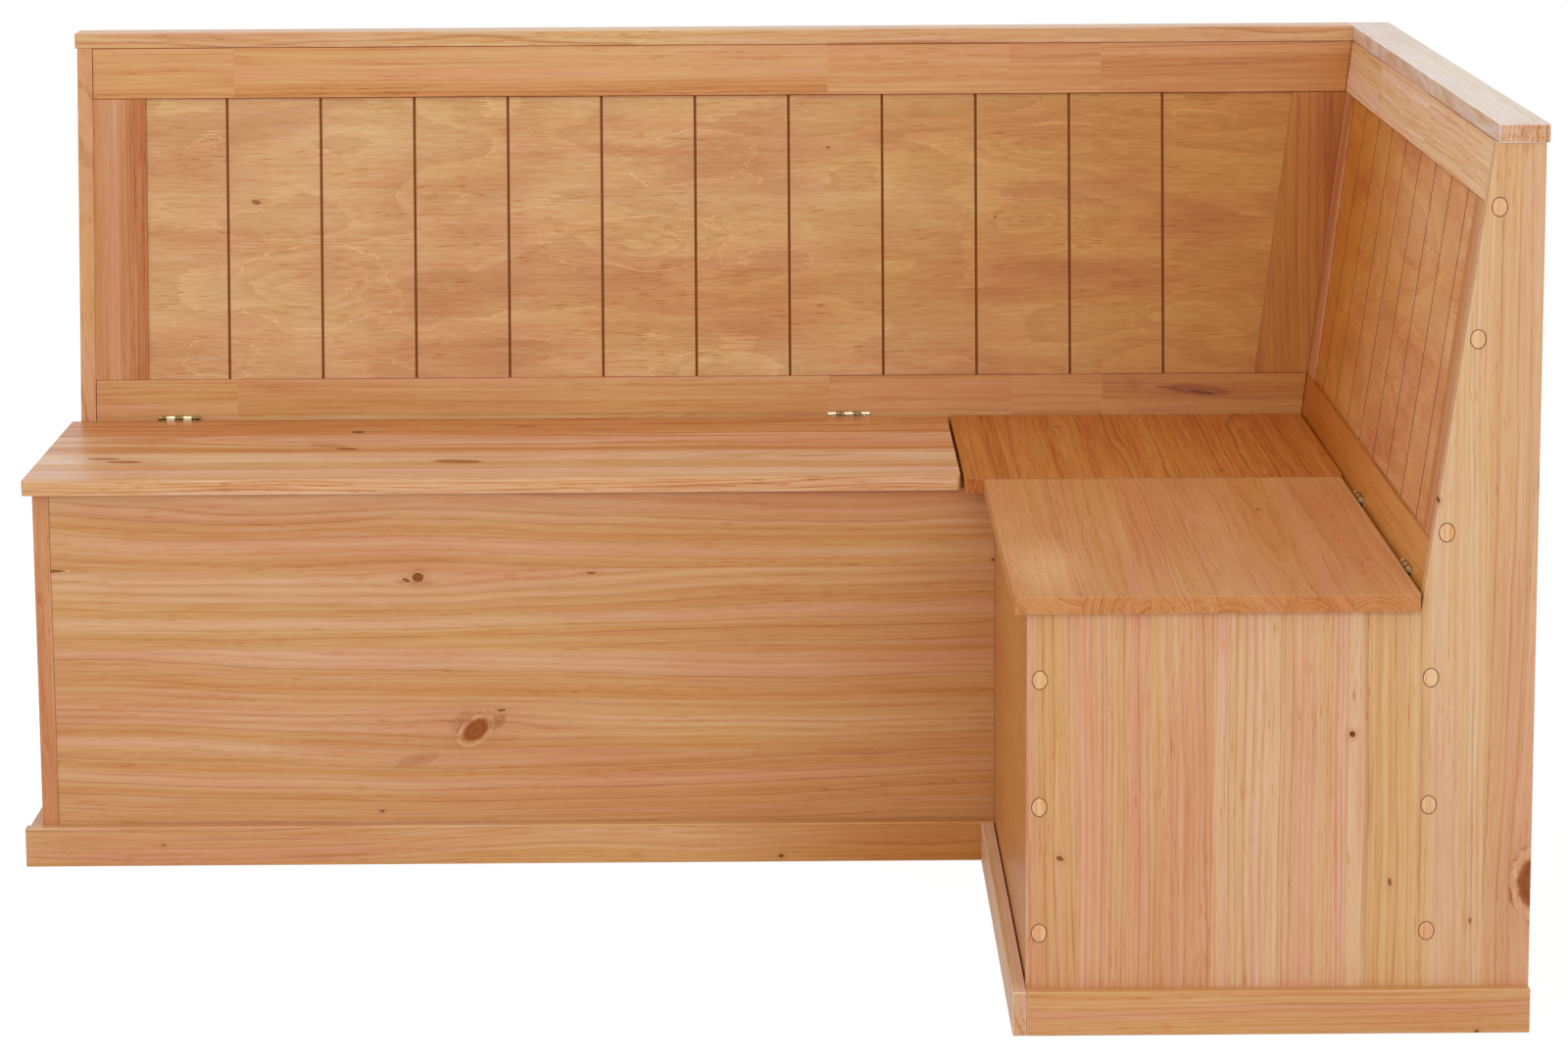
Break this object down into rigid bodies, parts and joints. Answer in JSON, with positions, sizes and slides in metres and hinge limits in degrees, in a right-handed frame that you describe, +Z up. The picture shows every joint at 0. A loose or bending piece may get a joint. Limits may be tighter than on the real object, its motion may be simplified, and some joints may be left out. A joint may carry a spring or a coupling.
{
  "type": "corner storage bench",
  "caption": "Corner bench with a leaning framed backrest, a fixed corner seat, and hinged seat lids over a storage chest in each leg.",
  "frame": {"origin": "on the floor, under the middle of the bench's bounding box", "axes": "+Z is up; +X runs along the long leg towards the wall corner; +Y points from the short leg's free end towards the wall behind the long leg"},
  "size_m": [1.591, 1.179, 0.9],
  "materials": {
    "pine": "satin lacquered honey-coloured pine",
    "pale_pine": "satin lacquered pine of lighter upright staves",
    "red_pine": "satin lacquered pine with a deeper reddish tone",
    "plywood": "satin lacquered rotary-cut pine plywood",
    "plug_wood": "satin lacquered light wood plugs",
    "hinge_metal": "pale plated brass, worn bright"
  },
  "bodies": {
    "bench_frame": {"corner_seat": "red_pine", "left_end_panel": "pale_pine", "long_back_panel": "plywood", "long_bearer": "pine", "long_bottom_rail": "pine", "long_cap": "pine", "long_chest_floor": "plywood", "long_corner_stile": "red_pine", "long_end_plinth": "pine", "long_front_panel": "pine", "long_front_plinth": "pine", "long_hinge_1_fixed_leaf": "hinge_metal", "long_hinge_1_pin": "hinge_metal", "long_hinge_2_fixed_leaf": "hinge_metal", "long_hinge_2_pin": "hinge_metal", "long_outer_stile": "red_pine", "long_partition": "pine", "long_rear_board": "pine", "long_top_rail": "pine", "plug_1": "plug_wood", "plug_2": "plug_wood", "plug_3": "plug_wood", "plug_4": "plug_wood", "plug_5": "plug_wood", "plug_6": "plug_wood", "plug_7": "plug_wood", "plug_8": "plug_wood", "plug_9": "plug_wood", "right_end_panel": "pale_pine", "short_back_panel": "plywood", "short_bearer": "pine", "short_bottom_rail": "pine", "short_cap": "pine", "short_chest_floor": "plywood", "short_corner_stile": "red_pine", "short_end_plinth": "pine", "short_front_panel": "pine", "short_front_plinth": "pine", "short_hinge_1_fixed_leaf": "hinge_metal", "short_hinge_1_pin": "hinge_metal", "short_hinge_2_fixed_leaf": "hinge_metal", "short_hinge_2_pin": "hinge_metal", "short_outer_stile": "red_pine", "short_partition": "pine", "short_rear_board": "pine", "short_top_rail": "pine"},
    "long_lid": {"long_hinge_1_lid_leaf": "hinge_metal", "long_hinge_2_lid_leaf": "hinge_metal", "long_lid": "pine", "long_lid_batten_1": "pine", "long_lid_batten_2": "pine"},
    "short_lid": {"short_hinge_1_lid_leaf": "hinge_metal", "short_hinge_2_lid_leaf": "hinge_metal", "short_lid": "pine", "short_lid_batten_1": "pine", "short_lid_batten_2": "pine"}
  },
  "joints": [
    {"name": "long_lid_hinge", "type": "hinge", "parent": "bench_frame", "child": "long_lid", "pos_m": [-0.26475, 0.4755, 0.4448], "axis": [-1, 0, 0], "range_deg": [0, 97]},
    {"name": "short_lid_hinge", "type": "hinge", "parent": "bench_frame", "child": "short_lid", "pos_m": [0.6815, -0.26675, 0.4448], "axis": [0, 1, 0], "range_deg": [0, 97]}
  ]
}
